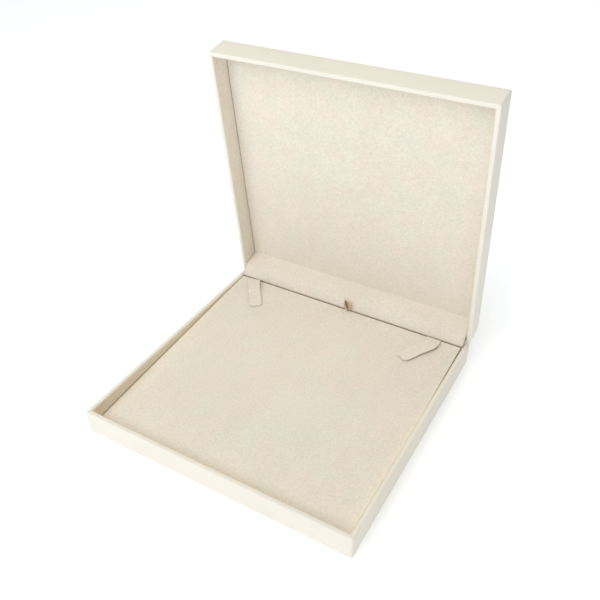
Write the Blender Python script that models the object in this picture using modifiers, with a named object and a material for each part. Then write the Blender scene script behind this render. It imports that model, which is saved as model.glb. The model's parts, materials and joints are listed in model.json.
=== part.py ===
"""Square necklace gift box with a sprung lid, standing open.

Metres, +Z up. The origin is the centre of the underside, +X runs along the front edge
and +Y points to the hinge side. Every lid piece is placed as in the closed box and hangs
from an empty on the hinge axis, which is then turned to the lid's open stop.
"""
import math

import bmesh
import bpy
from mathutils import Matrix, Vector

COLLECTION = "necklace_gift_box"
MM = 0.001
GAP = 0.3 * MM                     # clearance between touching pieces

# Box
WIDTH = 200 * MM
DEPTH = 200 * MM
BASE_HEIGHT = 17.7 * MM
LID_HEIGHT = 18.8 * MM
RIM_GAP = 0.4 * MM                 # slit between the two rims of the closed box
RIM_WIDTH = 2.7 * MM
OPEN_ANGLE = math.radians(80)
SKIN = 0.6 * MM                    # leatherette
SKIN_ROUND = 1.2 * MM
BASE_SHELL = 1.5 * MM              # moulded walls and floor
LID_SHELL = 1.0 * MM
BOTTOM_FOLD = 12 * MM              # leatherette folded under the base
LINING = 0.6 * MM
FLOOR_SHEET = 0.3 * MM

# Insert pad
PAD_HALF = 96.0 * MM
PAD_FRONT_Y = -96.2 * MM
PAD_REAR_Y = 93.4 * MM
PAD_FRONT_Z = 7.0 * MM
PAD_REAR_Z = 17.2 * MM
PAD_CROWN = 1.1 * MM
PAD_CLOTH = 0.6 * MM
INSERT_BOARD = 1.2 * MM
INSERT_DEPTH = 3.6 * MM            # from the pad's surface to the board's underside
FOAM_CROWN = 0.95 * MM
RISER_YS = {"middle": 0.0, "rear": 84 * MM}
RISER_HALF = 85 * MM
RISER_THICKNESS = 2 * MM

# Lid pad
LID_PAD_FACE = 32.4 * MM
LID_PAD_REAR_Y = 90.0 * MM
LID_PAD_BOARD = 0.8 * MM
LID_PAD_WADDING = 0.5 * MM
LID_PAD_CLOTH = 0.5 * MM
HINGE_BOARD = 0.8 * MM
HINGE_BOARD_FOOT = Vector((0, 92.7, 19.7)) * MM     # in the closed box
HINGE_BOARD_HEAD = Vector((0, 90.7, 32.0)) * MM
HINGE_CLOTH = 0.6 * MM
HINGE_CLOTH_FOLD = [(94.2, 7.5), (94.2, 16.5), (94.6, 19.0), (96.2, 22.2), (98.7, 24.8)]  # y, z

# Hinges
HINGE_XS = {"left": -55 * MM, "right": 55 * MM}
HINGE_HALF = 13 * MM
KNUCKLE_SPLIT = 4.65 * MM          # half length of the middle knuckle's bay
SHEET = 0.7 * MM                   # hinge leaf
KNUCKLE_RADIUS = 1.35 * MM         # middle of the rolled sheet
PIN_RADIUS = 0.65 * MM
LEAF_Y = -3.05 * MM                # leaf plates, measured from the axis
LEAF_HEIGHT = 12.4 * MM
SPRING_Y = -4.0 * MM
SPRING_SHEET = 0.4 * MM
SPRING_FOOT = -11 * MM             # lower end, bend and tip, measured from the axis
SPRING_BEND = -0.5 * MM
SPRING_TIP = (-2.4 * MM, 0.1 * MM)
SPRING_COLUMNS = (-4 * MM, 4 * MM)
RIVET_RADIUS = 0.6 * MM
RIVET_HEAD_RADIUS = 1.3 * MM
RIVET_HEAD = 0.5 * MM
RIVET_END = -1.6 * MM             # shanks stop inside the wall, measured from the axis
RIVET_X = 9 * MM                   # rivets on each side of the leaf's middle
RIVET_Z = 8 * MM                   # and this far from the axis
WALL_DRILL_END = -1.2 * MM         # holes stop inside the wall, measured from the axis
HOLE_DEPTH = 4.4 * MM
PIN_HEAD_RADIUS = 1.2 * MM
PIN_HEAD = 0.5 * MM
NOTCH = Vector((14.2, 6, 2)) * MM  # half sizes of the opening for a knuckle

# Tabs and loop
TAB_WIDTH = 10 * MM
TAB_THICKNESS = 0.9 * MM
TAB_ROUND = 2.0 * MM
TABS = {                           # root x, root y, heading from the front, length
    "left": (-83.6 * MM, 91.0 * MM, math.radians(33.3), 35 * MM),
    "right": (75.0 * MM, 89.5 * MM, math.radians(-25.5), 31 * MM),
}
TAB_ROOT_Z = 17.65 * MM
TAB_FALL = math.radians(1.2)
LOOP_ROOT = Vector((3.2, 91.2, 17.75)) * MM
LOOP_HEIGHT = 9.5 * MM
LOOP_HALF_OPENING = 1.9 * MM
LOOP_SHEET = 0.6 * MM
LOOP_WIDTH = 4.5 * MM
LOOP_PINCH = 0.28                  # share of the width left at the root
LOOP_FLARE = 0.35                  # share of the height over which a full width would open
LOOP_TAILS = 0.45 * MM             # half the distance between the two ends
LOOP_START = math.radians(12)
LOOP_STEPS = 16
LOOP_TWIST = math.radians(-50)
LOOP_LEAN = math.radians(16)       # from upright, towards the front left

HINGE_AXIS = Vector((0, DEPTH / 2, BASE_HEIGHT + RIM_GAP / 2))
LID_RIM_Z = BASE_HEIGHT + RIM_GAP
LID_TOP_Z = LID_RIM_Z + LID_HEIGHT
INNER_HALF = WIDTH / 2 - RIM_WIDTH
SHELL_INSET = SKIN + GAP
FLOOR_TOP = SHELL_INSET + BASE_SHELL
ROOF_Z = LID_TOP_Z - SHELL_INSET - LID_SHELL   # inner face of the lid shell
PAD_SLOPE = math.atan2(PAD_REAR_Z - PAD_FRONT_Z, PAD_REAR_Y - PAD_FRONT_Y)

# name: (colour, roughness, metallic)
FINISHES = {
    "leatherette": ((0.87, 0.84, 0.76), 0.55, 0.0),
    "suede": ((0.75, 0.68, 0.57), 0.95, 0.0),
    "moulding": ((0.80, 0.79, 0.76), 0.6, 0.0),
    "board": ((0.56, 0.52, 0.46), 0.9, 0.0),
    "foam": ((0.88, 0.86, 0.80), 0.95, 0.0),
    "steel": ((0.72, 0.70, 0.66), 0.35, 1.0),
}


def clear_scene():
    for item in list(bpy.data.objects):
        bpy.data.objects.remove(item, do_unlink=True)


def make_collection(name):
    group = bpy.data.collections.new(name)
    bpy.context.scene.collection.children.link(group)
    return group


def finish_material(node_name, finish):
    """One Principled material for each node."""
    colour, roughness, metallic = FINISHES[finish]
    material = bpy.data.materials.new(node_name)
    material.use_nodes = True
    shader = material.node_tree.nodes["Principled BSDF"]
    shader.inputs["Base Color"].default_value = (*colour, 1)
    shader.inputs["Roughness"].default_value = roughness
    shader.inputs["Metallic"].default_value = metallic
    return material


class Builder:
    """Links pieces to the box and cutters to their own collection."""

    def __init__(self):
        self.pieces = make_collection(COLLECTION)
        self.cutters = make_collection("cutters")
        self.lid_axis = self.empty("lid_hinge_axis", HINGE_AXIS)

    def empty(self, name, location, parent=None):
        pivot = bpy.data.objects.new(name, None)
        pivot.location = location
        pivot.parent = parent
        self.pieces.objects.link(pivot)
        return pivot

    def add(self, name, bm, finish, location=(0, 0, 0), lid=False, rotation=(0, 0, 0)):
        """Make an object; a lid piece's location is its place in the closed box."""
        mesh = bpy.data.meshes.new(name)
        bm.to_mesh(mesh)
        bm.free()
        piece = bpy.data.objects.new(name, mesh)
        piece.location = Vector(location) - (HINGE_AXIS if lid else Vector())
        piece.rotation_euler = rotation
        piece.parent = self.lid_axis if lid else None
        if finish:
            mesh.materials.append(finish_material(name, finish))
            self.pieces.objects.link(piece)
        else:
            piece.hide_render = True
            piece.display_type = "WIRE"
            self.cutters.objects.link(piece)
        return piece


def block(size):
    """A box mesh of the given size about its own centre."""
    bm = bmesh.new()
    bmesh.ops.create_cube(bm, size=1)
    bmesh.ops.scale(bm, vec=Vector(size), verts=bm.verts)
    return bm


def facing(bm, direction):
    """The faces whose normal points along a direction."""
    bm.normal_update()
    return [face for face in bm.faces if face.normal.dot(Vector(direction)) > 0.9]


def solidify(piece, thickness, offset=-1.0):
    modifier = piece.modifiers.new("thickness", "SOLIDIFY")
    modifier.thickness = thickness
    modifier.offset = offset
    modifier.use_even_offset = True


def bevel(piece, width, segments):
    modifier = piece.modifiers.new("rounding", "BEVEL")
    modifier.width = width
    modifier.segments = segments
    modifier.limit_method = "ANGLE"
    modifier.angle_limit = math.radians(50)


def combine(piece, cutter, operation="DIFFERENCE"):
    modifier = piece.modifiers.new(operation.lower(), "BOOLEAN")
    modifier.operation = operation
    modifier.object = cutter
    modifier.solver = "EXACT"


def span_box(build, name, low, high, finish, lid=False):
    """A plain box piece between two corners."""
    low, high = Vector(low), Vector(high)
    return build.add(name, block(high - low), finish, (low + high) / 2, lid)


def open_box(build, name, half, low_z, high_z, opening, finish, lid=False):
    """An open surface of four walls and a floor; opening is +1 up or -1 down."""
    bm = block((2 * half, 2 * half, high_z - low_z))
    bmesh.ops.delete(bm, geom=facing(bm, (0, 0, opening)), context="FACES_ONLY")
    return build.add(name, bm, finish, (0, 0, (low_z + high_z) / 2), lid)


def wrap(build, name, low_z, high_z, opening, closed_back, lid=False):
    """Leatherette over four walls, turned in over the rim and over the other edge."""
    bm = block((WIDTH, DEPTH, high_z - low_z))
    turned = [(opening, RIM_WIDTH)]
    if not closed_back:
        turned.append((-opening, BOTTOM_FOLD))
    for direction, width in turned:
        inner = facing(bm, (0, 0, direction))
        bmesh.ops.inset_region(bm, faces=inner, thickness=width, use_even_offset=True)
        bmesh.ops.delete(bm, geom=inner, context="FACES_ONLY")
    piece = build.add(name, bm, "leatherette", (0, 0, (low_z + high_z) / 2), lid)
    bevel(piece, SKIN_ROUND, 2)
    solidify(piece, SKIN)
    return piece


def lift_crown(bm, half_x, half_y, height):
    """Raise the upper vertices into a low crown that falls off at the edges."""
    top = max(vertex.co.z for vertex in bm.verts)
    for vertex in bm.verts:
        if vertex.co.z > top - GAP:
            across = 1 - 0.25 * (vertex.co.x / half_x) ** 4
            along = 1 - (vertex.co.y / half_y) ** 4
            vertex.co.z += height * across * along


def crowned_block(half_x, half_y, thickness, crown, cuts=6):
    """A flat block whose upper face is crowned, with its base at z = 0."""
    bm = block((2 * half_x, 2 * half_y, thickness))
    bmesh.ops.translate(bm, vec=(0, 0, thickness / 2), verts=bm.verts)
    flat_edges = [e for e in bm.edges if abs(e.verts[0].co.z - e.verts[1].co.z) < thickness / 2]
    bmesh.ops.subdivide_edges(bm, edges=flat_edges, cuts=cuts, use_grid_fill=True)
    lift_crown(bm, half_x, half_y, crown)
    return bm


def base_shells(build):
    open_rim = BASE_HEIGHT - SKIN - GAP
    tray = open_box(build, "base_tray", WIDTH / 2 - SHELL_INSET, SHELL_INSET, open_rim, 1,
                    "moulding")
    solidify(tray, BASE_SHELL)
    skin = wrap(build, "base_wrap", 0, BASE_HEIGHT, 1, closed_back=False)
    sheet_half = WIDTH / 2 - BOTTOM_FOLD - GAP
    span_box(build, "base_bottom_sheet", (-sheet_half, -sheet_half, 0),
             (sheet_half, sheet_half, SKIN), "suede")
    floor_z = FLOOR_TOP + GAP
    floor_half = WIDTH / 2 - FLOOR_TOP - GAP
    span_box(build, "base_floor_lining", (-floor_half, -floor_half, floor_z),
             (floor_half, floor_half, floor_z + FLOOR_SHEET), "suede")
    wall_linings(build, "base_lining", floor_z + FLOOR_SHEET + GAP, BASE_HEIGHT - GAP)
    return tray, skin


def lid_shells(build):
    shell = open_box(build, "lid_shell", WIDTH / 2 - SHELL_INSET, LID_RIM_Z + SHELL_INSET,
                     LID_TOP_Z - SHELL_INSET, -1, "moulding", lid=True)
    solidify(shell, LID_SHELL)
    skin = wrap(build, "lid_wrap", LID_RIM_Z, LID_TOP_Z, -1, closed_back=True, lid=True)
    wall_linings(build, "lid_lining", LID_RIM_Z + GAP, ROOF_Z - GAP, lid=True)
    return shell, skin


def wall_linings(build, name, low_z, high_z, lid=False):
    """Cloth strips on the front, left and right inner walls."""
    outer = INNER_HALF - GAP
    inner = outer - LINING
    front_half = inner - GAP
    for side, sign in (("left", -1), ("right", 1)):
        near, far = sorted((sign * inner, sign * outer))
        span_box(build, f"{name}_{side}", (near, -outer, low_z), (far, outer, high_z),
                 "suede", lid)
    span_box(build, f"{name}_front", (-front_half, -outer, low_z), (front_half, -inner, high_z),
             "suede", lid)


def insert_pad(build):
    """Cloth-covered foam on a board that slopes down to the front."""
    length = (PAD_REAR_Y - PAD_FRONT_Y) / math.cos(PAD_SLOPE)
    centre_y = (PAD_FRONT_Y + PAD_REAR_Y) / 2
    centre_z = (PAD_FRONT_Z + PAD_REAR_Z) / 2

    def place(name, bm, finish, depth):
        """depth is measured down from the pad's surface, square to its slope."""
        offset = Vector((0, depth * math.sin(PAD_SLOPE), -depth * math.cos(PAD_SLOPE)))
        location = Vector((0, centre_y, centre_z)) + offset
        return build.add(name, bm, finish, location, rotation=(PAD_SLOPE, 0, 0))

    skin = crowned_block(PAD_HALF, length / 2, INSERT_DEPTH, PAD_CROWN)
    bmesh.ops.delete(skin, geom=facing(skin, (0, 0, -1)), context="FACES_ONLY")
    cover = place("insert_cover", skin, "suede", INSERT_DEPTH)
    solidify(cover, PAD_CLOTH)

    inset = PAD_CLOTH + GAP
    half_x, half_y = PAD_HALF - inset, length / 2 - inset
    foam_thickness = INSERT_DEPTH - INSERT_BOARD - GAP - inset
    foam = crowned_block(half_x, half_y, foam_thickness, FOAM_CROWN)
    place("insert_foam", foam, "foam", INSERT_DEPTH - INSERT_BOARD - GAP)
    board = block((2 * half_x, 2 * half_y, INSERT_BOARD))
    place("insert_board", board, "board", INSERT_DEPTH - INSERT_BOARD / 2)

    riser_foot = FLOOR_TOP + FLOOR_SHEET + 2 * GAP
    half = RISER_THICKNESS / 2
    for name, y in RISER_YS.items():
        surface = centre_z + (y - centre_y) * math.tan(PAD_SLOPE)
        top = surface - INSERT_DEPTH / math.cos(PAD_SLOPE) - 2 * GAP
        span_box(build, f"insert_riser_{name}", (-RISER_HALF, y - half, riser_foot),
                 (RISER_HALF, y + half, top), "board")


def lid_pad(build):
    """Cloth-covered wadding on a board against the lid's roof."""
    low_y, high_y = PAD_FRONT_Y, LID_PAD_REAR_Y
    skin = block((2 * PAD_HALF, high_y - low_y, ROOF_Z - GAP - LID_PAD_FACE))
    bmesh.ops.delete(skin, geom=facing(skin, (0, 0, 1)), context="FACES_ONLY")
    centre = (0, (low_y + high_y) / 2, (ROOF_Z - GAP + LID_PAD_FACE) / 2)
    cover = build.add("lid_pad_cover", skin, "suede", centre, lid=True)
    solidify(cover, LID_PAD_CLOTH)

    inset = LID_PAD_CLOTH + GAP
    half, front, rear = PAD_HALF - inset, low_y + inset, high_y - inset
    board_low = ROOF_Z - GAP - LID_PAD_BOARD
    span_box(build, "lid_pad_board", (-half, front, board_low),
             (half, rear, board_low + LID_PAD_BOARD), "board", lid=True)
    wadding_low = LID_PAD_FACE + inset
    span_box(build, "lid_pad_wadding", (-half, front, wadding_low),
             (half, rear, wadding_low + LID_PAD_WADDING), "foam", lid=True)


def rolled_leaf(side):
    """Path of a hinge leaf in the (y, z) plane: plate, tongue and rolled knuckle."""
    path = [(LEAF_Y, side * LEAF_HEIGHT), (LEAF_Y, side * KNUCKLE_RADIUS)]
    steps = 14
    for step in range(steps + 1):
        turn = math.radians(300) * step / steps
        path.append((KNUCKLE_RADIUS * math.sin(turn), side * KNUCKLE_RADIUS * math.cos(turn)))
    return path


def sheet_strip(path, columns, bays=None, plate_points=0):
    """Faces along a (y, z) path; past the plate only the listed columns carry on."""
    bm = bmesh.new()
    rows = [[bm.verts.new((x, y, z)) for x in columns] for y, z in path]
    for index, (lower, upper) in enumerate(zip(rows, rows[1:])):
        for column in range(len(columns) - 1):
            if bays is None or index < plate_points or column in bays:
                bm.faces.new((lower[column], lower[column + 1],
                              upper[column + 1], upper[column]))
    bmesh.ops.delete(bm, geom=[v for v in bm.verts if not v.link_faces], context="VERTS")
    bmesh.ops.recalc_face_normals(bm, faces=bm.faces)
    return bm


def leaf_sheet(half):
    """The flat pattern of a leaf: a full plate, and knuckles in its own bays."""
    side, knuckle_bays = {"base": (-1, (0, 4)), "lid": (1, (2,))}[half]
    inner, outer = KNUCKLE_SPLIT - GAP / 2, KNUCKLE_SPLIT + GAP / 2
    columns = (-HINGE_HALF, -outer, -inner, inner, outer, HINGE_HALF)
    return sheet_strip(rolled_leaf(side), columns, knuckle_bays, plate_points=1)


def turned(outline, steps, axis_y=False):
    """A solid turned about X, or about Y, from (radius, position) points."""
    bm = bmesh.new()
    axis = Vector((0, 1, 0)) if axis_y else Vector((1, 0, 0))
    profile = [bm.verts.new(axis * position + Vector((0, 0, radius)))
               for radius, position in outline]
    edges = [bm.edges.new(pair) for pair in zip(profile, profile[1:])]
    bmesh.ops.spin(bm, geom=profile + edges, axis=axis, cent=(0, 0, 0),
                   angle=math.tau, steps=steps, use_merge=True)
    bmesh.ops.remove_doubles(bm, verts=bm.verts, dist=0.00001)
    bmesh.ops.recalc_face_normals(bm, faces=bm.faces)
    return bm


def headed_pin():
    half = HINGE_HALF + GAP
    outline = [(0, -half - PIN_HEAD), (PIN_HEAD_RADIUS, -half - PIN_HEAD),
               (PIN_HEAD_RADIUS, -half), (PIN_RADIUS, -half), (PIN_RADIUS, half),
               (PIN_HEAD_RADIUS, half), (PIN_HEAD_RADIUS, half + PIN_HEAD),
               (0, half + PIN_HEAD)]
    return turned(outline, steps=12)


def rivet(shank):
    """A rivet along +Y: its head before y = 0 and its shank behind it."""
    outline = [(0, -RIVET_HEAD), (RIVET_HEAD_RADIUS, -RIVET_HEAD), (RIVET_HEAD_RADIUS, 0),
               (RIVET_RADIUS, 0), (RIVET_RADIUS, shank), (0, shank)]
    return turned(outline, steps=10, axis_y=True)


def drill_hole(build, name, centre, lid):
    """A cutter for a rivet's hole, along Y."""
    bm = bmesh.new()
    radius = RIVET_RADIUS + GAP
    bmesh.ops.create_cone(bm, cap_ends=True, segments=10, radius1=radius, radius2=radius,
                          depth=HOLE_DEPTH, matrix=Matrix.Rotation(math.radians(90), 4, "X"))
    return build.add(name, bm, None, centre, lid)


def hinge_parts(build, shells, skins):
    """Two stamped hinges on the rear walls, each with a pin and a leaf spring."""
    spring_path = [(SPRING_Y, SPRING_FOOT), (SPRING_Y, SPRING_BEND), SPRING_TIP]
    leaf_front = LEAF_Y - SHEET / 2
    spring_front = SPRING_Y - SPRING_SHEET / 2
    for half, side, lid in (("base", -1, False), ("lid", 1, True)):
        for name, x in HINGE_XS.items():
            place = HINGE_AXIS + Vector((x, 0, 0))
            hinge = f"hinge_{name}"
            leaf = build.add(f"{hinge}_{half}_leaf", leaf_sheet(half), "steel", place, lid)
            solidify(leaf, SHEET, offset=0)
            drilled = [leaf, shells[half]]
            spots = [(-RIVET_X, leaf_front), (RIVET_X, leaf_front)]
            if half == "base":
                spring = build.add(f"{hinge}_spring", sheet_strip(spring_path, SPRING_COLUMNS),
                                   "steel", place)
                solidify(spring, SPRING_SHEET, offset=0)
                drilled.append(spring)
                spots.append((0, spring_front))
                build.add(f"{hinge}_pin", headed_pin(), "steel", place)
            for number, (across, front) in enumerate(spots, start=1):
                at = place + Vector((across, front - GAP, side * RIVET_Z))
                shank = RIVET_END - (front - GAP)
                build.add(f"{hinge}_{half}_rivet_{number}", rivet(shank), "steel", at, lid)
                hole_end = place + Vector((across, WALL_DRILL_END - HOLE_DEPTH / 2, side * RIVET_Z))
                hole = drill_hole(build, f"{hinge}_{half}_hole_{number}", hole_end, lid)
                for target in drilled:
                    combine(target, hole)
            notch = build.add(f"{hinge}_{half}_notch", block(2 * NOTCH), None, place, lid)
            combine(shells[half], notch)
            combine(skins[half], notch)


def hinge_cover(build):
    """Stiff strip below the lid pad, and the cloth from it down to the seam."""
    along = HINGE_BOARD_HEAD - HINGE_BOARD_FOOT
    board = block((2 * PAD_HALF, HINGE_BOARD, along.length))
    tilt = math.atan2(-along.y, along.z)
    build.add("hinge_cover_board", board, "board", (HINGE_BOARD_FOOT + HINGE_BOARD_HEAD) / 2,
              lid=True, rotation=(tilt, 0, 0))
    fold = [(y * MM, z * MM) for y, z in HINGE_CLOTH_FOLD]
    cloth = build.add("hinge_cover", sheet_strip(fold, (-PAD_HALF, PAD_HALF)), "suede")
    solidify(cloth, HINGE_CLOTH, offset=0)


def tabs(build):
    """Two flat suede tabs, each hinged at its root, lying on the pad."""
    for side, (x, y, heading, length) in TABS.items():
        pivot = build.empty(f"tab_{side}_root", (x, y, TAB_ROOT_Z))
        pivot.rotation_euler = (TAB_FALL, 0, heading)
        bm = block((TAB_WIDTH, length, TAB_THICKNESS))
        corners = [e for e in bm.edges
                   if e.verts[0].co.y < 0 and e.verts[1].co.y < 0
                   and abs(e.verts[0].co.z - e.verts[1].co.z) > TAB_THICKNESS / 2]
        bmesh.ops.bevel(bm, geom=corners, offset=TAB_ROUND, segments=3, affect="EDGES")
        strap = build.add(f"tab_{side}", bm, "suede", (0, -length / 2, TAB_THICKNESS / 2))
        strap.parent = pivot


def centre_loop(build):
    """A small standing ribbon loop, pinched at its root and twisted to one side."""
    pivot = build.empty("loop_root", LOOP_ROOT)
    pivot.rotation_euler = (LOOP_LEAN, 0, LOOP_TWIST)
    bm = bmesh.new()
    rows = []
    for step in range(LOOP_STEPS + 1):
        turn = LOOP_START + (math.tau - 2 * LOOP_START) * step / LOOP_STEPS
        rise = (1 - math.cos(turn)) / 2
        side = LOOP_HALF_OPENING * math.sin(turn) * math.sqrt(rise)
        side += math.copysign(LOOP_TAILS * (1 - rise), math.pi - turn)
        half_width = LOOP_WIDTH / 2 * min(1, LOOP_PINCH + rise / LOOP_FLARE)
        rows.append([bm.verts.new((x, side, LOOP_HEIGHT * rise))
                     for x in (-half_width, half_width)])
    for lower, upper in zip(rows, rows[1:]):
        bm.faces.new((lower[0], lower[1], upper[1], upper[0]))
    bmesh.ops.recalc_face_normals(bm, faces=bm.faces)
    ribbon = build.add("tab_center", bm, "suede")
    ribbon.parent = pivot
    solidify(ribbon, LOOP_SHEET, offset=0)


def main():
    clear_scene()
    build = Builder()
    base_tray, base_wrap = base_shells(build)
    lid_shell, lid_wrap = lid_shells(build)
    hinge_parts(build, {"base": base_tray, "lid": lid_shell}, {"base": base_wrap, "lid": lid_wrap})
    insert_pad(build)
    lid_pad(build)
    hinge_cover(build)
    tabs(build)
    centre_loop(build)
    build.lid_axis.rotation_euler = (-OPEN_ANGLE, 0, 0)


main()
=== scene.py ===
"""Looks of the square necklace gift box: leatherette outside, suede inside, lid standing open.

Metres, +Z up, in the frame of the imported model. Lid pieces are modelled as in the closed
box, in their object's own coordinates, and stand open through the object's placement.
"""
import json
import math

import bmesh
import bpy
import numpy as np
from mathutils import Matrix, Vector, noise


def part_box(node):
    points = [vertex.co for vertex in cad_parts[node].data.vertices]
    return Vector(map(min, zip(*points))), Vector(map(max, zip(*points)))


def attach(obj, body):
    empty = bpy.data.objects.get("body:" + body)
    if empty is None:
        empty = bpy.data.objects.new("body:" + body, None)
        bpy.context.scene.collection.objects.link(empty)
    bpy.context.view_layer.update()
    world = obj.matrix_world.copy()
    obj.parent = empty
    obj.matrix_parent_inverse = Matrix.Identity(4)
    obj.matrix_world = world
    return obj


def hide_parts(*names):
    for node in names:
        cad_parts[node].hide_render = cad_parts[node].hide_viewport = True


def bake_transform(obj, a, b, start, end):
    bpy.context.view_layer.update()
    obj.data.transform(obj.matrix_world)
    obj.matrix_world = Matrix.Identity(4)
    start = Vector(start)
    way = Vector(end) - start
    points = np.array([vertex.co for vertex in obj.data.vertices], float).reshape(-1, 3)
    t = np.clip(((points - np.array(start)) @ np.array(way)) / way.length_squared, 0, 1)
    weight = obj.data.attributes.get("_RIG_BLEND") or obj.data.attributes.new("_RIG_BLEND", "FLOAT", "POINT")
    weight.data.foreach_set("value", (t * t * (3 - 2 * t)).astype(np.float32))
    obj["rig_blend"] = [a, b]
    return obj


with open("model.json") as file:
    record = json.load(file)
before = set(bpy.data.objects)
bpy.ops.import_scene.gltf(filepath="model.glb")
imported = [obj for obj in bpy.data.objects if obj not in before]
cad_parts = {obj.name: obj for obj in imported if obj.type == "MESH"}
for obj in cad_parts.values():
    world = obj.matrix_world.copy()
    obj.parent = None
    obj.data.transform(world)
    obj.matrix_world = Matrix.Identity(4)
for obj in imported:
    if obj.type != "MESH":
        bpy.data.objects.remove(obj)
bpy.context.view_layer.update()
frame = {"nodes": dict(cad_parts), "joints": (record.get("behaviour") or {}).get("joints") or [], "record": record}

MM = 0.001
HINGE = next(joint for joint in frame["joints"] if joint["name"] == "lid_hinge")
AXIS = Vector(HINGE["pos_m"])
OPEN_ANGLE = math.radians(HINGE["range_deg"][1])
OPEN_LID = (Matrix.Translation(AXIS) @ Matrix.Rotation(-OPEN_ANGLE, 4, "X")
            @ Matrix.Translation(-AXIS))

# Camera
CAMERA_PLACE = Vector((194.26, -343.09, 371.62)) * MM
CAMERA_AZIMUTH = math.radians(32.13)
CAMERA_ELEVATION = math.radians(35.65)
CAMERA_ROLL = math.radians(1.18)
LENS = 44.35
SHIFT = (0.0667, -0.0075)

# Leatherette
SKIN = 0.6 * MM
SKIN_CORNER = 1.3 * MM             # outer corners seen from above
SKIN_EDGE = 0.8 * MM               # rounding along the edges
RIM_WIDTH = 2.95 * MM              # to the inner face of the part turned down inside
RIM_ROUND = 0.4 * MM               # rounding of the rim's inner edge
TURN_DOWN = 1.6 * MM
REAR_CRISP = 0.25                  # the rear walls' rims are rounded this much less
REAR_LIFT = 0.19 * MM              # and stand this much nearer to each other
BOTTOM_FOLD = 12 * MM
ROOF_CROWN = 0.25 * MM

# Pads
PAD_BOW = 0.85 * MM                # how far the insert's board bows up in the middle
PAD_SWELL = 0.45 * MM
LID_PAD_SWELL = 0.45 * MM
PAD_SHIFT = -0.15 * MM             # the insert lies a little to the left
PAD_SLIT = 0.3 * MM                # the insert's cover is drawn in this much beside the walls
SWELL_REACH = 9 * MM               # the swelling grows over this distance from the edges
PAD_CELLS = 28                     # across a pad, between its edges
PAD_UNEVEN = 0.07 * MM             # height of the pads' shallow unevenness
PAD_UNEVEN_SIZE = 22 * MM
CLEARANCE = 0.3 * MM


def lid_box(node):
    """Lowest and highest corner of a lid node in the closed box."""
    back = OPEN_LID.inverted()
    corners = [back @ vertex.co for vertex in frame["nodes"][node].data.vertices]
    return (Vector(min(c[i] for c in corners) for i in range(3)),
            Vector(max(c[i] for c in corners) for i in range(3)))


# --------------------------------------------------------------------------- materials

class Finish:
    """A Principled material whose colour, roughness and bump come from nodes."""

    def __init__(self, name, **sockets):
        self.material = bpy.data.materials.new(name)
        self.material.use_nodes = True
        self.tree = self.material.node_tree
        self.shader = self.tree.nodes["Principled BSDF"]
        for socket, value in sockets.items():
            self.shader.inputs[socket.replace("_", " ")].default_value = value
        self.place = self.tree.nodes.new("ShaderNodeTexCoord").outputs["Object"]

    def node(self, kind, **values):
        made = self.tree.nodes.new(kind)
        for key, value in values.items():
            if key in made.bl_rna.properties:
                setattr(made, key, value)
            else:
                made.inputs[key].default_value = value
        return made

    def link(self, source, target):
        self.tree.links.new(source, target)

    def scaled(self, scale):
        """Object coordinates stretched along each axis."""
        mapping = self.node("ShaderNodeMapping")
        mapping.inputs["Scale"].default_value = scale
        self.link(self.place, mapping.inputs["Vector"])
        return mapping.outputs["Vector"]

    def noise(self, size, detail=2.0, roughness=0.5, place=None):
        """Noise whose blobs are about size metres across."""
        made = self.node("ShaderNodeTexNoise", Scale=1 / size, Detail=detail,
                         Roughness=roughness)
        self.link(place or self.place, made.inputs["Vector"])
        return made.outputs["Fac"]

    def ramp(self, value, low, high, start=0.0, end=1.0):
        """A value between start and end, running from low to high."""
        made = self.node("ShaderNodeMapRange")
        for socket, number in (("From Min", start), ("From Max", end),
                               ("To Min", low), ("To Max", high)):
            made.inputs[socket].default_value = number
        self.link(value, made.inputs["Value"])
        return made.outputs["Result"]

    def multiply(self, first, second):
        made = self.node("ShaderNodeMath", operation="MULTIPLY")
        self.link(first, made.inputs[0])
        self.link(second, made.inputs[1])
        return made.outputs["Value"]

    def tint(self, colour, factor):
        """A colour times a factor that varies over the surface."""
        made = self.node("ShaderNodeVectorMath", operation="SCALE")
        made.inputs[0].default_value = colour
        self.link(factor, made.inputs["Scale"])
        return made.outputs["Vector"]

    def mix(self, factor, first, second):
        made = self.node("ShaderNodeMix", data_type="RGBA")
        self.link(factor, made.inputs["Factor"])
        for socket, value in zip((s for s in made.inputs if s.type == "RGBA"), (first, second)):
            self.link(value, socket)
        return next(s for s in made.outputs if s.type == "RGBA")

    def colour(self, value):
        self.link(value, self.shader.inputs["Base Color"])

    def roughness(self, value):
        self.link(value, self.shader.inputs["Roughness"])

    def bump(self, height, distance, strength=1.0):
        made = self.node("ShaderNodeBump", Strength=strength, Distance=distance)
        self.link(height, made.inputs["Height"])
        if self.shader.inputs["Normal"].is_linked:
            self.link(self.shader.inputs["Normal"].links[0].from_socket, made.inputs["Normal"])
        self.link(made.outputs["Normal"], self.shader.inputs["Normal"])


def leatherette():
    """Smooth ivory coated cloth: very fine grain and a soft satin."""
    made = Finish("leatherette", Specular_IOR_Level=0.4)
    cells = made.node("ShaderNodeTexVoronoi", feature="DISTANCE_TO_EDGE", Scale=1 / (0.45 * MM))
    made.link(made.place, cells.inputs["Vector"])
    creases = made.ramp(cells.outputs["Distance"], 0.0, 1.0, 0.0, 0.25)
    cloudy = made.noise(28 * MM, 3)
    speckle = made.noise(0.7 * MM, 2)
    shade = made.multiply(made.ramp(cloudy, 0.985, 1.012, 0.3, 0.7),
                          made.ramp(speckle, 0.985, 1.015, 0.3, 0.7))
    made.colour(made.tint((0.905, 0.874, 0.785), shade))
    made.roughness(made.ramp(speckle, 0.46, 0.6, 0.3, 0.7))
    made.bump(creases, 0.012 * MM, 0.6)
    made.bump(made.noise(6 * MM, 2), 0.03 * MM, 0.4)
    return made.material


# Painted shade: the warm dark colour that suede takes where it goes down into a crevice.
CREVICE_SHADE_COLOUR = (0.44, 0.37, 0.28)


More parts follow.
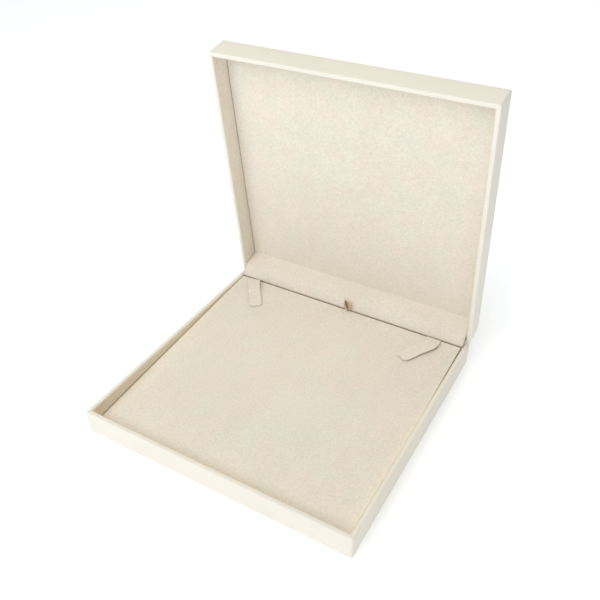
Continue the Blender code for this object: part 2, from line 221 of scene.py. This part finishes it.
def suede(name, colour, crevice_shade_heights=None):
    """Short brushed nap: speckled fibres, cloudy strokes where the nap lies differently.

    Below the lower of the two heights in the last argument the colour is a painted crevice shade, blending to the
    nap's own colour at the higher one.
    """
    made = Finish(name, Sheen_Weight=0.25, Sheen_Roughness=0.45, Specular_IOR_Level=0.15)
    fibres = made.noise(0.55 * MM, 3, 0.65)
    tufts = made.noise(1.6 * MM, 2, 0.6)
    strokes = made.noise(9 * MM, 3, 0.55, made.scaled((1.0, 0.55, 1.0)))
    clouds = made.noise(45 * MM, 2)
    shade = made.multiply(made.ramp(fibres, 0.91, 1.075, 0.3, 0.7),
                          made.ramp(tufts, 0.945, 1.05, 0.3, 0.7))
    shade = made.multiply(shade, made.ramp(strokes, 0.985, 1.012, 0.3, 0.7))
    shade = made.multiply(shade, made.ramp(clouds, 0.99, 1.012, 0.35, 0.65))
    red, green, blue = colour
    warm = made.tint((red * 1.012, green * 0.988, blue * 0.99), shade)
    cool = made.tint((red * 0.99, green * 1.008, blue * 1.002), shade)
    nap = made.mix(made.ramp(made.noise(16 * MM, 3), 0.0, 1.0, 0.38, 0.62), warm, cool)
    # Painted shade: a band in object height, below which the colour turns to the crevice colour.
    if crevice_shade_heights:
        split = made.node("ShaderNodeSeparateXYZ")
        made.link(made.place, split.inputs["Vector"])
        rise = made.ramp(split.outputs["Z"], 0.0, 1.0, *crevice_shade_heights)
        nap = made.mix(rise, made.tint(CREVICE_SHADE_COLOUR, shade), nap)
    made.colour(nap)
    made.roughness(made.ramp(fibres, 0.86, 1.0, 0.3, 0.7))
    made.bump(fibres, 0.10 * MM, 0.5)
    made.bump(tufts, 0.16 * MM, 0.35)
    return made.material


def grey_board():
    made = Finish("grey_board", Specular_IOR_Level=0.2)
    fibres = made.noise(0.8 * MM, 4, 0.7, made.scaled((1.0, 0.3, 1.0)))
    flecks = made.noise(0.35 * MM, 1)
    shade = made.multiply(made.ramp(fibres, 0.86, 1.1, 0.3, 0.7),
                          made.ramp(flecks, 0.94, 1.04, 0.35, 0.7))
    made.colour(made.tint((0.50, 0.46, 0.40), shade))
    made.roughness(made.ramp(fibres, 0.82, 0.98, 0.3, 0.7))
    made.bump(fibres, 0.08 * MM, 0.6)
    return made.material


def moulded_plastic():
    made = Finish("moulded_plastic", Specular_IOR_Level=0.45)
    spark = made.noise(0.5 * MM, 2)
    flow = made.noise(30 * MM, 2)
    made.colour(made.tint((0.72, 0.71, 0.68), made.ramp(flow, 0.96, 1.03, 0.3, 0.7)))
    made.roughness(made.ramp(spark, 0.42, 0.6, 0.3, 0.7))
    made.bump(spark, 0.03 * MM, 0.5)
    return made.material


def brushed_steel():
    made = Finish("brushed_steel", Metallic=1.0)
    lines = made.noise(0.25 * MM, 3, 0.6, made.scaled((0.04, 1.0, 1.0)))
    stains = made.noise(5 * MM, 3)
    made.colour(made.tint((0.66, 0.64, 0.60), made.ramp(stains, 0.9, 1.06, 0.3, 0.7)))
    made.roughness(made.ramp(lines, 0.24, 0.42, 0.3, 0.7))
    made.bump(lines, 0.01 * MM, 0.5)
    return made.material


LEATHERETTE = leatherette()
SUEDE_COLOUR = (0.862, 0.813, 0.718)
SUEDE = suede("suede", SUEDE_COLOUR)
# Painted shade: the pad's sides, below its top edge, turn to the crevice colour.
PAD_SUEDE_PAINTED_SHADE = suede("suede_pad_painted_shade", SUEDE_COLOUR, crevice_shade_heights=(2.2 * MM, 3.2 * MM))
# Painted shade: the hinge cover turns to the crevice colour below the seam, down in the groove.
SEAM_SUEDE_PAINTED_SHADE = suede("suede_seam_painted_shade", SUEDE_COLOUR, crevice_shade_heights=(17.2 * MM, 18.2 * MM))
# Painted bounce light and shade: the base's linings get a warmer, darker copy of the suede than the lid's.
LINING_SUEDE_PAINTED_BOUNCE = suede("suede_lining_painted_bounce", (0.88, 0.79, 0.64))
STRAP_SUEDE = suede("suede_strap", (0.885, 0.825, 0.735))
# Painted shade: the loop's suede is darker and warmer than the pad's, standing in for the shadow and warm bounce
# light inside the loop.
RIBBON_SUEDE_PAINTED_SHADE = suede("suede_ribbon_painted_shade", (0.80, 0.66, 0.50))
BOARD = grey_board()
PLASTIC = moulded_plastic()
STEEL = brushed_steel()


# --------------------------------------------------------------------------- mesh helpers

def make_object(name, bm, material, placement=None, smooth_angle=40):
    mesh = bpy.data.meshes.new(name)
    bmesh.ops.recalc_face_normals(bm, faces=bm.faces)
    bm.to_mesh(mesh)
    bm.free()
    mesh.shade_smooth()
    mesh.set_sharp_from_angle(angle=math.radians(smooth_angle))
    mesh.materials.append(material)
    piece = bpy.data.objects.new(name, mesh)
    bpy.context.scene.collection.objects.link(piece)
    if placement is not None:
        piece.matrix_world = placement
    return piece


def finish_piece(piece, body, slot, *nodes):
    """Ride on a body and stand for CAD nodes; the slot argument is not used."""
    if "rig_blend" not in piece:
        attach(piece, body)
    if nodes:
        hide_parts(*nodes)


def apply_modifiers(piece):
    """Replace the mesh by its evaluated one."""
    graph = bpy.context.evaluated_depsgraph_get()
    result = bpy.data.meshes.new_from_object(piece.evaluated_get(graph))
    piece.modifiers.clear()
    piece.data = result


def arc(centre, radius, start, end, steps):
    """Points on an arc, angles in degrees."""
    angles = [math.radians(start + (end - start) * step / steps) for step in range(steps + 1)]
    return [(centre[0] + radius * math.cos(a), centre[1] + radius * math.sin(a)) for a in angles]


def square_ring(half, corner, inset, stations):
    """Points round a square with rounded corners, drawn in from its outline by inset."""
    radius = max(corner - inset, 0.35 * MM)
    side = half - inset
    ring = []
    for quarter in range(4):
        turn = Matrix.Rotation(math.radians(90) * quarter, 2)
        limit = side - radius
        ring += [turn @ Vector((side, station * limit)) for station in stations]
        ring += [turn @ Vector(point) for point in arc((limit, limit), radius, 15, 75, 4)]
    return ring


STATIONS = [-1 + 2 * step / 12 for step in range(13)]


def sweep_square(half, corner, profile, closed):
    """Carry a profile of (inset, height) points round a square."""
    bm = bmesh.new()
    rings = []
    for inset, height in profile:
        points = square_ring(half, corner, inset, STATIONS)
        rings.append([bm.verts.new((x, y, height)) for x, y in points])
    pairs = list(zip(rings, rings[1:]))
    if closed:
        pairs.append((rings[-1], rings[0]))
    for lower, upper in pairs:
        count = len(lower)
        for index in range(count):
            after = (index + 1) % count
            bm.faces.new((lower[index], lower[after], upper[after], upper[index]))
    return bm, rings


HINGE_OPENING = Vector((28.4, 12.0, 4.0)) * MM   # room for one hinge's knuckles


def cut_hinge_openings(piece, half_of_box):
    """Openings in the rear wall's rim for the hinge knuckles."""
    for side in ("left", "right"):
        low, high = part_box(f"hinge_{side}_pin")
        centre = (low + high) / 2
        bpy.ops.mesh.primitive_cube_add(size=1, location=centre)
        cutter = bpy.context.object
        cutter.scale = HINGE_OPENING
        if half_of_box == "lid":
            cutter.rotation_euler = (-OPEN_ANGLE, 0, 0)
        modifier = piece.modifiers.new("opening", "BOOLEAN")
        modifier.operation = "DIFFERENCE"
        modifier.solver = "EXACT"
        modifier.object = cutter
        bpy.context.view_layer.update()
        apply_modifiers(piece)
        bpy.data.objects.remove(cutter)


# --------------------------------------------------------------------------- leatherette

def rim_profile(height, floor, end_inset):
    """Closed outline of the wrap: from under the base, up the wall, over the rim and down inside."""
    edge, inner = SKIN_EDGE, SKIN_EDGE - SKIN
    turn = RIM_WIDTH - RIM_ROUND
    outer = [(end_inset, floor)]
    outer += [(edge - x, floor + edge - z) for x, z in arc((0, 0), edge, 90, 0, 6)]
    outer += [(edge - x, height - edge + z) for x, z in arc((0, 0), edge, 0, 90, 6)]
    outer += [(turn + x, height - RIM_ROUND + z) for x, z in arc((0, 0), RIM_ROUND, 90, 0, 5)]
    outer += [(RIM_WIDTH, height - TURN_DOWN), (turn, height - TURN_DOWN), (turn, height - SKIN)]
    back = [(edge - x, height - edge + z) for x, z in arc((0, 0), inner, 90, 0, 3)]
    back += [(edge - x, floor + edge - z) for x, z in arc((0, 0), inner, 0, 90, 3)]
    back += [(end_inset, floor + SKIN)]
    return outer + back


def crisp_rear(bm, half, rim):
    """Bring the rear wall's rim closer to the hinge line and round it less."""
    for vertex in bm.verts:
        behind, below = half - vertex.co.y, rim - vertex.co.z
        if behind < SKIN_EDGE + 1e-6 and below < SKIN_EDGE + 1e-6:
            vertex.co.y = half - REAR_CRISP * behind
            vertex.co.z = rim - REAR_CRISP * below
        if behind < RIM_WIDTH and below < SKIN_EDGE + 1e-6:
            vertex.co.z += REAR_LIFT


def base_skin():
    low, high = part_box("base_wrap")
    half = (high.x - low.x) / 2
    profile = rim_profile(high.z, low.z, BOTTOM_FOLD)
    bm = sweep_square(half, SKIN_CORNER, profile, closed=True)[0]
    crisp_rear(bm, half, high.z)
    piece = make_object("base_leatherette", bm, LEATHERETTE)
    cut_hinge_openings(piece, "base")
    finish_piece(piece, "base", "leatherette", "base_wrap")


def lid_skin():
    low, high = lid_box("lid_wrap")
    half = (high.x - low.x) / 2
    height = high.z - low.z
    profile = rim_profile(height, 0, BOTTOM_FOLD)
    roof_insets = (30 * MM, 60 * MM, 85 * MM)
    crown = [(inset, -ROOF_CROWN * math.sin(inset / half * math.pi / 2)) for inset in roof_insets]
    profile = ([(inset, z) for inset, z in reversed(crown)] + profile
               + [(inset, z + SKIN) for inset, z in crown])
    bm, rings = sweep_square(half, SKIN_CORNER, profile, closed=False)
    for ring in (rings[0], rings[-1]):
        bm.faces.new(ring)
    crisp_rear(bm, half, height)
    for vertex in bm.verts:
        vertex.co.z = high.z - vertex.co.z
    piece = make_object("lid_leatherette", bm, LEATHERETTE, OPEN_LID)
    cut_hinge_openings(piece, "lid")
    finish_piece(piece, "lid", "leatherette", "lid_wrap")


# --------------------------------------------------------------------------- pads

def graded(half, cells):
    """Grid lines across a pad, closer together at its edges."""
    edge = [0, 0.5 * MM, 1.5 * MM, 4.0 * MM]
    middle = half - 8 * MM
    between = [-middle + 2 * middle * step / cells for step in range(cells + 1)]
    return [-half + e for e in edge] + between + [half - e for e in reversed(edge)]


def swell(piece, free):
    """Puff the free vertices with the Cloth simulation; returns how far each one moved."""
    scene = bpy.context.scene
    rest = np.array([v.co for v in piece.data.vertices])
    group = piece.vertex_groups.new(name="held")
    group.add([v.index for v in piece.data.vertices if v.index not in free], 1.0, "REPLACE")
    modifier = piece.modifiers.new("cloth", "CLOTH")
    cloth = modifier.settings
    cloth.vertex_group_mass = "held"
    cloth.use_pressure = True
    cloth.uniform_pressure_force = 4
    cloth.effector_weights.gravity = 0
    for step in range(1, 21):
        scene.frame_set(step)
    graph = bpy.context.evaluated_depsgraph_get()
    moved = np.array([v.co for v in piece.evaluated_get(graph).data.vertices])
    piece.modifiers.remove(modifier)
    scene.frame_set(1)
    piece.vertex_groups.clear()
    return moved - rest


def cushion(name, half_x, half_y, depth, board, bow, limit, placement, material):
    """Suede over wadding: a crowned pad with soft edges and a recess for its board."""
    xs, ys = graded(half_x, PAD_CELLS), graded(half_y, PAD_CELLS)
    bm = bmesh.new()
    grid = [[bm.verts.new((x, y, depth)) for x in xs] for y in ys]
    for row, next_row in zip(grid, grid[1:]):
        for a, b, c, d in zip(row, row[1:], next_row[1:], next_row):
            bm.faces.new((a, b, c, d))
    for row in grid:
        for vertex in row:
            u, v = vertex.co.x / half_x, vertex.co.y / half_y
            vertex.co.z += bow * (1 - 0.2 * u ** 4) * (1 - v ** 4)
    bm.verts.index_update()
    free = {v.index for row in grid[1:-1] for v in row[1:-1]}
    crease = bm.edges.layers.float.new("crease_edge")

    def carry_down(edges, inset, height):
        """Extrude a ring of edges to a rectangle drawn in by inset, at one height."""
        made = bmesh.ops.extrude_edge_only(bm, edges=edges)["geom"]
        for vertex in (g for g in made if isinstance(g, bmesh.types.BMVert)):
            u, v = vertex.co.x / half_x, vertex.co.y / half_y
            side = max(abs(u), abs(v))
            scale = Vector(((half_x - inset) / half_x, (half_y - inset) / half_y)) / side
            vertex.co = (vertex.co.x * scale.x, vertex.co.y * scale.y, height)
        return [g for g in made if isinstance(g, bmesh.types.BMEdge) and len(g.link_faces) == 1]

    ring = [edge for edge in bm.edges if edge.is_boundary]
    recess = CLEARANCE + SKIN
    for inset, height, sharp in ((0, depth - 0.5 * MM, False), (0, 0.3 * MM, False),
                                 (0, 0, True), (recess, 0, True),
                                 (recess, board + CLEARANCE, True)):
        ring = carry_down(ring, inset, height)
        if sharp:
            for edge in ring:
                edge[crease] = 1.0
    bm.faces.new(ordered_loop(ring))
    piece = make_object(name, bm, material, placement)
    puffed = swell(piece, free)
    for vertex in piece.data.vertices:
        if vertex.index in free:
            margin = min(half_x - abs(vertex.co.x), half_y - abs(vertex.co.y))
            share = 1 - math.exp(-margin / SWELL_REACH)
            shift = Vector((0, 0, limit))
            if puffed is not None:
                shift = Vector(puffed[vertex.index])
                shift *= limit * math.tanh(shift.length / limit) / max(shift.length, 1e-9)
            vertex.co += share * shift
            vertex.co.z += PAD_UNEVEN * noise.noise(vertex.co / PAD_UNEVEN_SIZE) * share
    smooth = piece.modifiers.new("smooth", "SUBSURF")
    smooth.levels = smooth.render_levels = 2
    return piece


def ordered_loop(edges):
    """Vertices of a closed ring of edges, in order."""
    links = {}
    for edge in edges:
        for vertex in edge.verts:
            links.setdefault(vertex, []).append(edge.other_vert(vertex))
    loop = [edges[0].verts[0]]
    previous = None
    while True:
        following = next(v for v in links[loop[-1]] if v is not previous)
        if following is loop[0]:
            return loop
        previous = loop[-1]
        loop.append(following)


def insert_pad():
    """The sloping pad; its board's corners say how it lies."""
    corners = [vertex.co for vertex in frame["nodes"]["insert_board"].data.vertices]
    front = min((c for c in corners if c.y < 0), key=lambda c: c.z)
    rear = min((c for c in corners if c.y > 0), key=lambda c: c.z)
    along = Vector((0, rear.y - front.y, rear.z - front.z))
    slope = math.atan2(along.z, along.y)
    middle = Vector((PAD_SHIFT, (front.y + rear.y) / 2, (front.z + rear.z) / 2))
    placement = Matrix.Translation(middle) @ Matrix.Rotation(slope, 4, "X")
    low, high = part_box("insert_cover")
    half_y = along.length / 2 + CLEARANCE + SKIN
    piece = cushion("insert_pad", high.x - PAD_SLIT, half_y - PAD_SLIT / 2, 3.6 * MM, 1.2 * MM,
                    PAD_BOW, PAD_SWELL, placement, PAD_SUEDE_PAINTED_SHADE)
    finish_piece(piece, "base", "suede", "insert_cover", "insert_foam")


def lid_pad():
    low, high = lid_box("lid_pad_cover")
    middle = (low + high) / 2
    placement = (OPEN_LID @ Matrix.Translation((0, middle.y, high.z))
                 @ Matrix.Rotation(math.pi, 4, "Y"))
    depth = high.z - low.z - LID_PAD_SWELL / 2
    piece = cushion("lid_pad", high.x, (high.y - low.y) / 2, depth, 0.8 * MM, 0.0,
                    LID_PAD_SWELL, placement, SUEDE)
    finish_piece(piece, "lid", "suede", "lid_pad_cover", "lid_pad_wadding")


# --------------------------------------------------------------------------- linings

def cloth_panel(name, low, high, placement=None, crease=0.25 * MM, material=SUEDE):
    """A thin cloth-covered strip with soft edges, between two corners."""
    size = high - low
    centre = (low + high) / 2
    bm = bmesh.new()
    bmesh.ops.create_cube(bm, size=1)
    bmesh.ops.scale(bm, vec=size, verts=bm.verts)
    longest = max(range(3), key=lambda i: size[i])
    long_edges = [e for e in bm.edges
                  if abs(e.verts[0].co[longest] - e.verts[1].co[longest]) > size[longest] / 2]
    bmesh.ops.subdivide_edges(bm, edges=long_edges, cuts=23)
    outline = [e for e in bm.edges if e.calc_face_angle(0) > 1]
    bmesh.ops.bevel(bm, geom=outline, offset=min(crease, min(size) * 0.42), segments=2,
                    affect="EDGES")
    bmesh.ops.translate(bm, vec=centre, verts=bm.verts)
    thin = min(range(3), key=lambda i: size[i])
    for vertex in bm.verts:
        vertex.co[thin] += 0.05 * MM * noise.noise(vertex.co / (15 * MM))
    return make_object(name, bm, material, placement)


def wall_linings():
    for side in ("front", "left", "right"):
        for part, corners, placement in (("base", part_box(f"base_lining_{side}"), None),
                                         ("lid", lid_box(f"lid_lining_{side}"), OPEN_LID)):
            low, high = corners
            node = f"{part}_lining_{side}"
            # Painted bounce light and shade: the base's linings take the warmer, darker suede copy.
            piece = cloth_panel(f"{node}_cloth", low, high, placement,
                                material={"base": LINING_SUEDE_PAINTED_BOUNCE, "lid": SUEDE}[part])
            finish_piece(piece, part, "suede", node)


def flat_sheets():
    for node in ("base_bottom_sheet", "base_floor_lining"):
        low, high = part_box(node)
        piece = cloth_panel(f"{node}_cloth", low, high, crease=0.2 * MM)
        finish_piece(piece, "base", "suede", node)


# --------------------------------------------------------------------------- hinge cover

SEAM = Vector((0, 94.0, 17.3)) * MM
RIDGE = Vector((0, 99.1, 25.4)) * MM
COVER_PATH = [(94.5, 9.5), (94.5, 14.0), (94.4, 17.2), (94.9, 19.8), (96.4, 22.9), (99.0, 25.4),
              (102.8, 27.2), (107.6, 28.9), (112.2, 30.4), (113.6, 31.6)]
COVER_THICKNESS = 0.6 * MM
COVER_MARGIN = 0.5 * MM            # each end reaches this much nearer to the side linings
COVER_RIPPLE = 0.22 * MM
RIPPLE_HEIGHT = 22 * MM            # the cover is free to ripple round this height


def smooth_path(points, steps):
    """A Catmull-Rom curve through the points."""
    points = [Vector(p) for p in points]
    ends = [2 * points[0] - points[1]] + points + [2 * points[-1] - points[-2]]
    path = []
    for a, b, c, d in zip(ends, ends[1:], ends[2:], ends[3:]):
        for step in range(steps):
            t = step / steps
            path.append(0.5 * (2 * b + (c - a) * t + (2 * a - 5 * b + 4 * c - d) * t * t
                               + (3 * b - a - 3 * c + d) * t ** 3))
    return path + [points[-1]]


def hinge_cover():
    """The cloth from the seam behind the pad, over a soft ridge, to the lid pad."""
    path = [p * MM for p in smooth_path(COVER_PATH, 4)]
    low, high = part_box("hinge_cover")
    half = high.x + COVER_MARGIN
    columns = [-half + 2 * half * step / 64 for step in range(65)]
    bm = bmesh.new()
    rows = []
    for y, z in path:
        free = math.exp(-((z - RIPPLE_HEIGHT) / (3 * MM)) ** 2)
        row = []
        for x in columns:
            ripple = noise.noise(Vector((x / (26 * MM), z / (14 * MM), 3.0)))
            push = COVER_RIPPLE * free * ripple
            row.append(bm.verts.new((x, y - 0.8 * push, z + 0.6 * push)))
        rows.append(row)
    for lower, upper in zip(rows, rows[1:]):
        for index in range(len(columns) - 1):
            bm.faces.new((lower[index], lower[index + 1], upper[index + 1], upper[index]))
    piece = make_object("hinge_cover_cloth", bm, SEAM_SUEDE_PAINTED_SHADE)
    thickness = piece.modifiers.new("thickness", "SOLIDIFY")
    thickness.thickness = COVER_THICKNESS
    thickness.offset = 0
    apply_modifiers(piece)
    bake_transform(piece, "base", "lid", start=SEAM, end=RIDGE)
    finish_piece(piece, "lid", "suede", "hinge_cover")


# --------------------------------------------------------------------------- tabs and loop

TAB_CLOTH = 0.6 * MM
TAB_CORNER = 2.6 * MM
TAB_GAP = 0.1 * MM                 # between a strap and the pad, apart from its lift
TAB_ROOT_REACH = 5.0 * MM          # over this length a strap turns from the groove's line
PAD_REAR = 92.4 * MM               # straps behind this line keep its height
ABOVE_PAD = 60 * MM
# middle x and y, width, lift above the pad, twist in degrees
TABS = {
    "left": [(-85.5, 93.5, 10.8, -2.2, 0), (-85.2, 93.0, 10.8, -0.9, 2),
             (-84.8, 92.2, 10.8, 0.3, 6), (-81.7, 87.2, 10.4, 1.9, 16),
             (-77.4, 80.2, 9.6, 2.0, 14), (-72.8, 73.8, 9.8, 1.1, 5),
             (-68.6, 68.2, 10.2, 0.6, 0), (-63.9, 61.1, 10.2, 0.5, 0)],
    "right": [(74.6, 93.5, 11.0, -2.2, 0), (74.6, 93.0, 11.0, -0.9, 0),
              (74.7, 92.2, 11.0, 0.3, 0), (75.4, 86.0, 11.0, 1.5, 3), (74.0, 80.6, 11.0, 1.7, 5),
              (69.4, 73.9, 10.8, 1.3, 4), (65.6, 67.0, 10.6, 1.2, 2), (61.4, 59.8, 10.6, 1.1, 0)],
}


def pad_surface(x, y):
    """Height of the pad's surface over a point."""
    pad = bpy.data.objects["insert_pad"]
    graph = bpy.context.evaluated_depsgraph_get()
    back = pad.matrix_world.inverted()
    start = back @ Vector((x, y, ABOVE_PAD))
    direction = back.to_3x3() @ Vector((0, 0, -1))
    place = pad.evaluated_get(graph).ray_cast(start, direction)[1]
    return (pad.matrix_world @ place).z


def tab(side):
    """A suede strap out of the groove behind the pad, lying loosely on it."""
    stations = [Vector(station) for station in TABS[side]]
    path = smooth_path([station[:2] for station in stations], 6)
    shape = smooth_path([station[2:] for station in stations], 6)
    reached = [0.0]
    for a, b in zip(path, path[1:]):
        reached.append(reached[-1] + (b - a).length)
    length = reached[-1] * MM
    shares = [-1, -0.85, -0.5, 0, 0.5, 0.85, 1]
    bm = bmesh.new()
    rows = []
    for index, (middle, (width, lift, twist), along) in enumerate(zip(path, shape, reached)):
        ahead = path[min(index + 1, len(path) - 1)] - path[max(index - 1, 0)]
        across = Vector((-ahead.y, ahead.x)).normalized()
        root_share = math.exp(-(along * MM / TAB_ROOT_REACH) ** 2)
        across += root_share * (Vector((1 / across.x, 0)) - across)
        half = width / 2 * MM
        before_end = max(length - along * MM, 0)
        if before_end < TAB_CORNER:
            half -= TAB_CORNER - math.sqrt(TAB_CORNER ** 2 - (TAB_CORNER - before_end) ** 2)
        row = []
        for share in shares:
            point = middle * MM + across * share * half
            height = pad_surface(point.x, min(point.y, PAD_REAR)) + TAB_CLOTH / 2 + TAB_GAP
            height += lift * MM + share * half * math.sin(math.radians(twist))
            row.append(bm.verts.new((point.x, point.y, height)))
        rows.append(row)
    for lower, upper in zip(rows, rows[1:]):
        for index in range(len(shares) - 1):
            bm.faces.new((lower[index], lower[index + 1], upper[index + 1], upper[index]))
    piece = make_object(f"tab_{side}_suede", bm, STRAP_SUEDE)
    thickness = piece.modifiers.new("thickness", "SOLIDIFY")
    thickness.thickness = TAB_CLOTH
    thickness.offset = 0
    smooth = piece.modifiers.new("smooth", "SUBSURF")
    smooth.levels = smooth.render_levels = 1
    apply_modifiers(piece)
    start = Vector((*(path[0] * MM), SEAM.z))
    forward = (path[-1] - path[0]).normalized()
    end = start + Vector((*forward, 0)) * TAB_ROOT_REACH
    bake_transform(piece, "base", f"tab_{side}", start=start, end=end)
    finish_piece(piece, "base", "suede", f"tab_{side}")


LOOP_ROOT = Vector((3.5, 93.1, 17.3)) * MM
LOOP_HEIGHT = 13.2 * MM
LOOP_HALF_OPENING = 1.1 * MM
LOOP_FUNNEL = 0.8                  # it opens this much wider towards the front than the back
LOOP_WIDTH = 4.5 * MM
LOOP_PINCH = 0.28                  # share of the width left at the root
LOOP_FLARE = 0.35                  # share of the height over which a full width would open
LOOP_TAILS = 0.45 * MM             # half the distance between the two ends
LOOP_CLOTH = 0.6 * MM
LOOP_STEPS = 40
LOOP_START = math.radians(12)
LOOP_TWIST = math.radians(-50)
LOOP_LEAN = math.radians(18)       # from upright, towards the front left


def centre_loop():
    """A small standing ribbon loop, pinched at its root and creased at its top."""
    bm = bmesh.new()
    rows = []
    for step in range(LOOP_STEPS + 1):
        turn = LOOP_START + (math.tau - 2 * LOOP_START) * step / LOOP_STEPS
        rise = (1 - math.cos(turn)) / 2
        side = math.copysign(1, math.pi - turn)
        out = side * (LOOP_HALF_OPENING * 4 * rise * (1 - rise) + LOOP_TAILS * (1 - rise))
        half = LOOP_WIDTH / 2 * min(1, LOOP_PINCH + rise / LOOP_FLARE)
        rows.append([bm.verts.new((share * half, out * (1 + LOOP_FUNNEL * share),
                                   LOOP_HEIGHT * rise))
                     for share in (-1, -0.5, 0, 0.5, 1)])
    for lower, upper in zip(rows, rows[1:]):
        for index in range(4):
            bm.faces.new((lower[index], lower[index + 1], upper[index + 1], upper[index]))
    placement = (Matrix.Translation(LOOP_ROOT) @ Matrix.Rotation(LOOP_TWIST, 4, "Z")
                 @ Matrix.Rotation(LOOP_LEAN, 4, "X"))
    piece = make_object("tab_center_ribbon", bm, RIBBON_SUEDE_PAINTED_SHADE, placement)
    thickness = piece.modifiers.new("thickness", "SOLIDIFY")
    thickness.thickness = LOOP_CLOTH
    thickness.offset = 0
    finish_piece(piece, "loop", "suede", "tab_center")


# --------------------------------------------------------------------------- hardware

def dress_cad_nodes():
    """Materials of the CAD pieces that stay."""
    materials = {"moulding": PLASTIC, "board": BOARD, "steel": STEEL, "suede": SUEDE,
                 "foam": SUEDE, "leatherette": LEATHERETTE}
    slots = {part["node"]: part["material_slot"] for part in frame["record"]["subparts"]}
    for name, node in frame["nodes"].items():
        if node.hide_render:
            continue
        for slot in node.material_slots:
            slot.material = materials[slots[name]]


# --------------------------------------------------------------------------- studio

def floor():
    bm = bmesh.new()
    bmesh.ops.create_grid(bm, x_segments=2, y_segments=2, size=4)
    # Painted light: the floor glows, more strongly away from the box, which whitens it and lifts the shadows cast
    # on it.
    made = Finish("paper_floor_painted_glow", Specular_IOR_Level=0.1, Roughness=0.9,
                  Emission_Color=(*FLOOR_GLOW, 1))
    away = made.node("ShaderNodeVectorMath", operation="LENGTH")
    made.link(made.place, away.inputs[0])
    made.link(made.ramp(away.outputs["Value"], 1.0, GLOW_FAR, *GLOW_RISE),
              made.shader.inputs["Emission Strength"])
    made.colour(made.tint((0.93, 0.93, 0.93), made.ramp(made.noise(0.4, 2), 0.995, 1.005)))
    piece = make_object("floor", bm, made.material)
    piece.location.z = -0.2 * MM


def area_light(name, place, target, size, power, colour):
    data = bpy.data.lights.new(name, "AREA")
    data.shape = "RECTANGLE"
    data.size, data.size_y = size
    data.energy = power
    data.color = colour
    light = bpy.data.objects.new(name, data)
    light.location = place
    light.visible_camera = False
    light.rotation_euler = (Vector(target) - Vector(place)).to_track_quat("-Z", "Y").to_euler()
    bpy.context.scene.collection.objects.link(light)


# name: (place, target, size, power, colour)
BOX = (0, 0, 0.05)
LIGHTS = {
    "front": ((-0.2, -1.11, 1.13), BOX, 1.0, 10.9, (0.98, 0.975, 0.99)),
    "top": ((0.0, -0.06, 1.6), BOX, 1.2, 5.6, (1.0, 0.97, 0.78)),
    "back": ((0.0, 1.13, 1.13), BOX, 1.0, 0.6, (1.0, 0.92, 0.84)),
    "near_left": ((-0.293, -0.246, 0.321), BOX, 0.25, 0.1, (1.0, 0.95, 0.8)),
    "near_right": ((0.32, -0.05, 0.04), BOX, 0.3, 0.08, (1.0, 0.7, 0.45)),
    "backdrop": ((-0.5, 1.9, 1.5), (-0.5, 1.9, 0), 2.2, 7.8, (1.0, 0.9, 0.78)),
}
# Painted light: colour of the floor's glow, and how the glow grows away from the box.
FLOOR_GLOW = (0.24, 0.262, 0.29)
GLOW_RISE = (0.11, 0.26)           # between these distances from the middle the glow grows
GLOW_FAR = 1.7                     # to this many times its strength at the box
ROOM_LIGHT = 0.3


def studio():
    world = bpy.data.worlds.new("studio")
    bpy.context.scene.world = world
    world.use_nodes = True
    background = world.node_tree.nodes["Background"]
    background.inputs["Color"].default_value = (1.0, 1.0, 1.0, 1)
    background.inputs["Strength"].default_value = ROOM_LIGHT
    for name, (place, target, size, power, colour) in LIGHTS.items():
        area_light(name, place, target, (size, size), power, colour)
    bpy.context.scene.view_settings.view_transform = "Standard"
    floor()


def camera():
    data = bpy.data.cameras.new("camera")
    data.lens = LENS
    data.sensor_width = 36
    data.shift_x, data.shift_y = SHIFT
    made = bpy.data.objects.new("camera", data)
    made.matrix_world = (Matrix.Translation(CAMERA_PLACE)
                         @ Matrix.Rotation(CAMERA_AZIMUTH, 4, "Z")
                         @ Matrix.Rotation(math.radians(90) - CAMERA_ELEVATION, 4, "X")
                         @ Matrix.Rotation(-CAMERA_ROLL, 4, "Z"))
    bpy.context.scene.collection.objects.link(made)
    bpy.context.scene.camera = made


camera()
studio()
base_skin()
lid_skin()
insert_pad()
lid_pad()
wall_linings()
flat_sheets()
hinge_cover()
tab("left")
tab("right")
centre_loop()
dress_cad_nodes()
